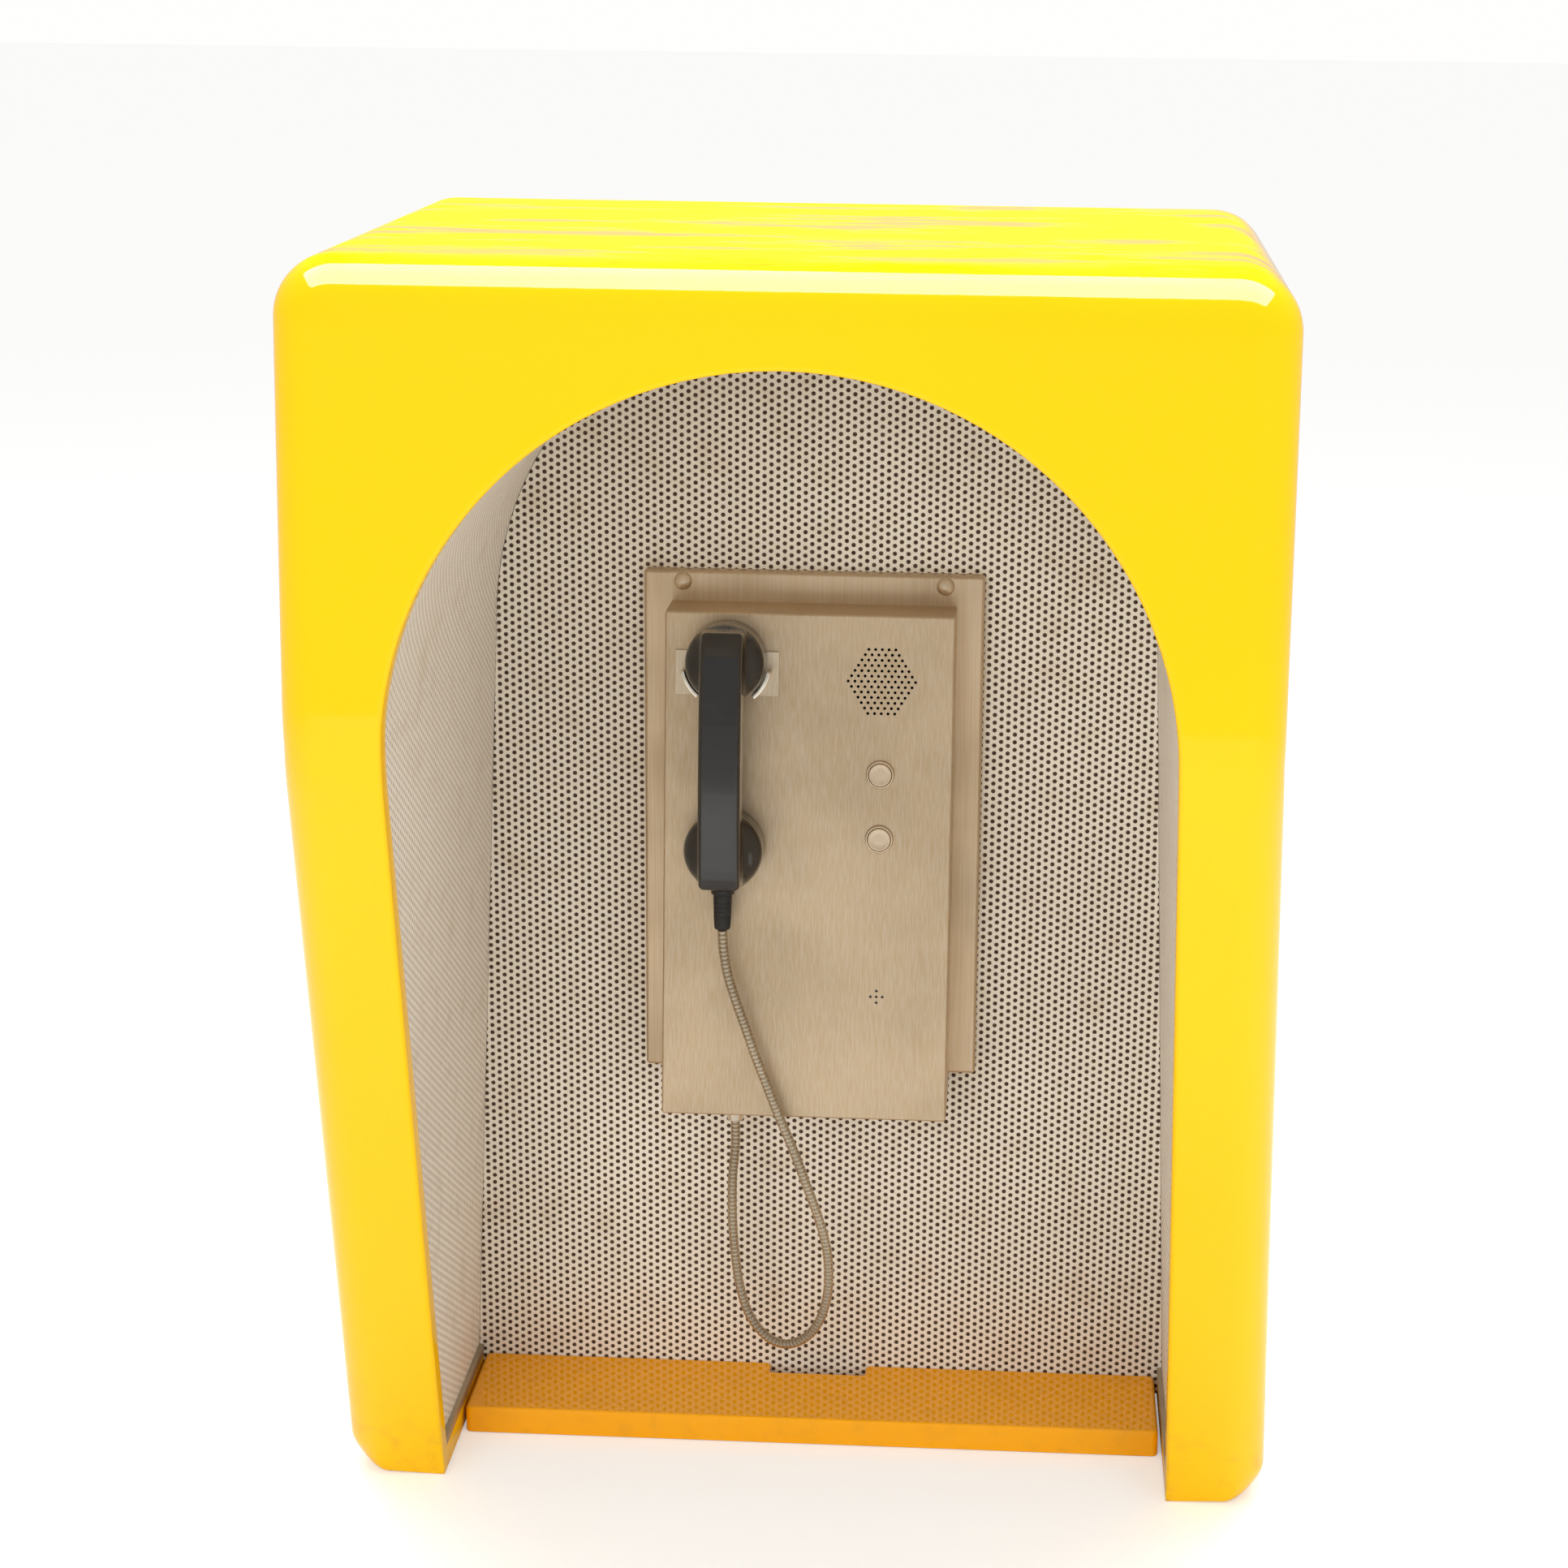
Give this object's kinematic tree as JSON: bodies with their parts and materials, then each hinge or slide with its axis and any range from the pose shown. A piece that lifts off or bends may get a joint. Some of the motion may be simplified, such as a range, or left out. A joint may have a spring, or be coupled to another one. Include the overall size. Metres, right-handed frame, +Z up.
{
  "type": "acoustic telephone hood with help telephone",
  "caption": "Yellow moulded acoustic hood with an arched opening, perforated lining and shelf, holding a wedge-shaped steel telephone with handset on an armoured cord.",
  "frame": {"origin": "centre of the outline box in X and Y, on the floor under the legs", "axes": "+Z up, the arched opening faces -Y, the wall side is +Y, +X to the right seen from the front"},
  "size_m": [0.6974, 0.495, 0.941],
  "materials": {
    "yellow_grp": "gloss gelcoat",
    "board_ply": "sealed plywood",
    "mineral_wool": "fibrous",
    "perforated_lining": "satin powder coat, perforated",
    "trim_strip": "satin",
    "zinc_steel": "zinc plated",
    "satin_steel": "brushed",
    "bright_steel": "polished",
    "cord_armour": "ribbed armour",
    "black_plastic": "gloss",
    "black_rubber": "matt",
    "capsule_metal": "satin",
    "circuit_green": "matt",
    "transformer_core": "lacquered"
  },
  "bodies": {
    "root": {"hood_shell": "yellow_grp", "back_board": "board_ply", "wool_back": "mineral_wool", "wool_left": "mineral_wool", "wool_right": "mineral_wool", "wool_crown_left": "mineral_wool", "wool_crown_right": "mineral_wool", "lining_back": "perforated_lining", "lining_wrap": "perforated_lining", "lining_trims": "trim_strip", "board_screws": "zinc_steel", "shelf": "yellow_grp", "shelf_brackets": "zinc_steel", "shelf_screws": "zinc_steel", "plate_spacers": "zinc_steel", "phone_back_plate": "satin_steel", "plate_screws": "bright_steel", "phone_housing": "satin_steel", "housing_screws": "satin_steel", "speaker": "capsule_metal", "speaker_gasket": "black_rubber", "speaker_studs": "zinc_steel", "mic_holder": "black_rubber", "mic_capsule": "capsule_metal", "button_barrels": "bright_steel", "button_nuts": "zinc_steel", "button_switches": "black_plastic", "circuit_board": "circuit_green", "board_standoffs": "zinc_steel", "transformer": "transformer_core", "terminal_block": "circuit_green", "cradle_plate": "satin_steel", "cradle_horns": "bright_steel", "hook_bracket": "zinc_steel", "hook_pin": "zinc_steel", "hook_switch": "black_plastic", "cord_gland": "bright_steel", "gland_nut": "zinc_steel", "armoured_cord": "cord_armour"},
    "handset": {"handset_grip": "black_plastic", "ear_cap": "black_plastic", "mouth_cap": "black_plastic", "receiver_capsule": "capsule_metal", "transmitter_capsule": "capsule_metal", "handset_boot": "black_rubber"},
    "upper_button": {"upper_button_cap": "bright_steel"},
    "lower_button": {"lower_button_cap": "bright_steel"},
    "hook_lever": {"hook_lever": "zinc_steel"}
  },
  "joints": [
    {"name": "handset_lift", "type": "slide", "parent": "root", "child": "handset", "axis": [0, -0.8215, 0.5702], "range_m": [0, 0.06]},
    {"name": "hook_lever_tilt", "type": "hinge", "parent": "root", "child": "hook_lever", "pos_m": [-0.069, 0.15903, 0.58073], "axis": [1, 0, 0], "range_deg": [0, 10]},
    {"name": "upper_button_press", "type": "slide", "parent": "root", "child": "upper_button", "axis": [0, 0.9965, -0.083], "range_m": [0, 0.002], "stiffness_N_per_m": 400, "springref_m": -0.003},
    {"name": "lower_button_press", "type": "slide", "parent": "root", "child": "lower_button", "axis": [0, 0.9965, -0.083], "range_m": [0, 0.002], "stiffness_N_per_m": 400, "springref_m": -0.003}
  ],
  "couplings": [
    {"joint": "hook_lever_tilt", "follows": "handset_lift", "rad_per_m": 2.9}
  ]
}
